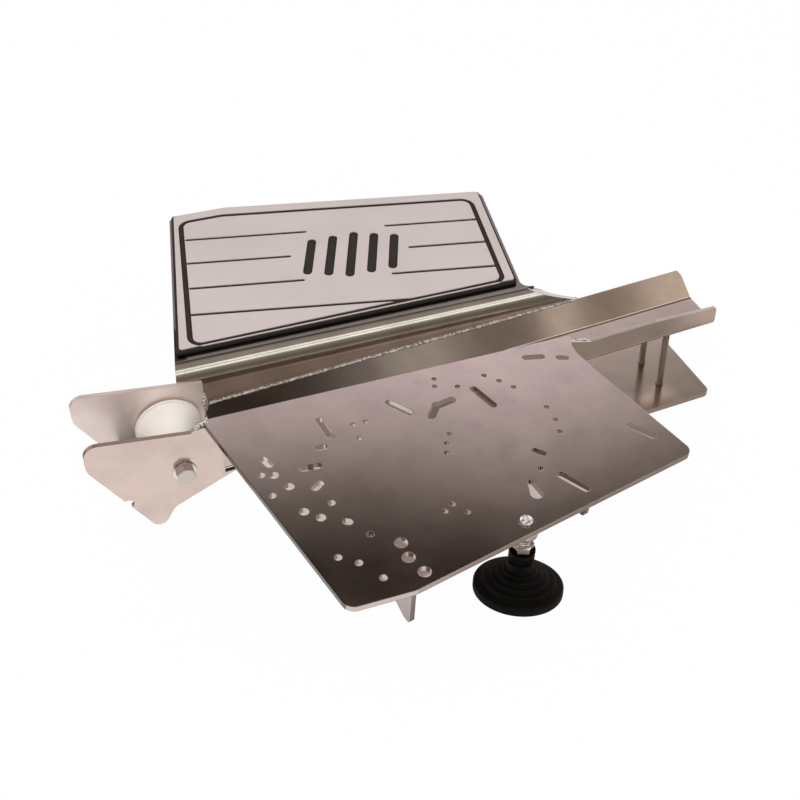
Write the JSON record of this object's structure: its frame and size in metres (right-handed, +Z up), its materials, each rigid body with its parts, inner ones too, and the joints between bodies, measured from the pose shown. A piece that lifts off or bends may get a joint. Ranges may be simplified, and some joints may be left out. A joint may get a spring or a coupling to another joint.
{
  "type": "trolling motor bow mount",
  "caption": "Stainless bow mount: a slotted motor plate and a padded step either side of an anchor channel, with an anchor roller, a clamp plate on studs and a levelling foot.",
  "frame": {"origin": "on the motor plate's upper face, in the middle of the motor's footprint", "axes": "+X runs aft along the plate, +Y across to the step's side, +Z up from the plate"},
  "size_m": [0.7107, 0.6437, 0.1424],
  "materials": {
    "stainless": "polished",
    "polished": "mirror polished",
    "weld": "as welded, brushed",
    "fastener": "polished",
    "roller_white": "satin",
    "bush": "matte",
    "foam_dark": "closed-cell foam, matte",
    "foam_light": "closed-cell foam, brushed",
    "black_rubber": "matte"
  },
  "bodies": {
    "frame": {"channel": "stainless", "near_cheek": "stainless", "far_cheek": "stainless", "cross_plate": "stainless", "motor_plate": "stainless", "front_rib": "stainless", "aft_rib": "stainless", "step_plate": "stainless", "flange_weld": "weld", "roller_bolt": "fastener", "roller_washers": "fastener", "roller_side_washers": "fastener", "roller_nut": "fastener", "clamp_studs": "fastener", "foot_boss": "fastener", "pad_base": "foam_dark", "pad_top": "foam_light"},
    "roller": {"roller": "roller_white", "roller_bush": "bush"},
    "clamp": {"clamp_plate": "polished", "clamp_washers": "fastener"},
    "foot_ball": {"foot_ball": "fastener", "foot_collar": "black_rubber"},
    "foot_spindle": {"foot_spindle": "fastener"},
    "foot_base": {"foot_pad": "black_rubber"},
    "clamp_nut_1": {"clamp_nut_1": "fastener"},
    "clamp_nut_2": {"clamp_nut_2": "fastener"},
    "clamp_nut_3": {"clamp_nut_3": "fastener"},
    "clamp_nut_4": {"clamp_nut_4": "fastener"}
  },
  "joints": [
    {"name": "roller_spin", "type": "hinge", "parent": "frame", "child": "roller", "pos_m": [-0.233, 0.1625, -0.057], "axis": [0, 1, 0], "continuous": true},
    {"name": "clamp_travel", "type": "slide", "parent": "frame", "child": "clamp", "axis": [-0.071, 0, 0.9975], "range_m": [-0.004, 0.045]},
    {"name": "foot_height", "type": "slide", "parent": "frame", "child": "foot_ball", "axis": [0, 0, 1], "range_m": [-0.01, 0.01]},
    {"name": "spindle_turn", "type": "hinge", "parent": "foot_ball", "child": "foot_spindle", "pos_m": [0.032, -0.103, -0.03], "axis": [0, 0, 1], "range_deg": [-1805, 1805]},
    {"name": "foot_tilt", "type": "hinge", "parent": "foot_ball", "child": "foot_base", "pos_m": [0.032, -0.103, -0.056], "axis": [-0.9069, 0.4214, 0], "range_deg": [-28.8, 1.2]},
    {"name": "clamp_nut_1_turn", "type": "hinge", "parent": "clamp", "child": "clamp_nut_1", "pos_m": [0.22419, 0.13, -0.12811], "axis": [-0.071, 0, 0.9975], "range_deg": [-1157, 12965]},
    {"name": "clamp_nut_2_turn", "type": "hinge", "parent": "clamp", "child": "clamp_nut_2", "pos_m": [0.22419, 0.171, -0.12811], "axis": [-0.071, 0, 0.9975], "range_deg": [-1157, 12965]},
    {"name": "clamp_nut_3_turn", "type": "hinge", "parent": "clamp", "child": "clamp_nut_3", "pos_m": [0.33291, 0.13, -0.12037], "axis": [-0.071, 0, 0.9975], "range_deg": [-1157, 12965]},
    {"name": "clamp_nut_4_turn", "type": "hinge", "parent": "clamp", "child": "clamp_nut_4", "pos_m": [0.33291, 0.171, -0.12037], "axis": [-0.071, 0, 0.9975], "range_deg": [-1157, 12965]}
  ],
  "couplings": [
    {"joint": "spindle_turn", "follows": "foot_height", "rad_per_m": 3141.6},
    {"joint": "clamp_nut_1_turn", "follows": "clamp_travel", "rad_per_m": 5026.5},
    {"joint": "clamp_nut_2_turn", "follows": "clamp_travel", "rad_per_m": 5026.5},
    {"joint": "clamp_nut_3_turn", "follows": "clamp_travel", "rad_per_m": 5026.5},
    {"joint": "clamp_nut_4_turn", "follows": "clamp_travel", "rad_per_m": 5026.5}
  ]
}
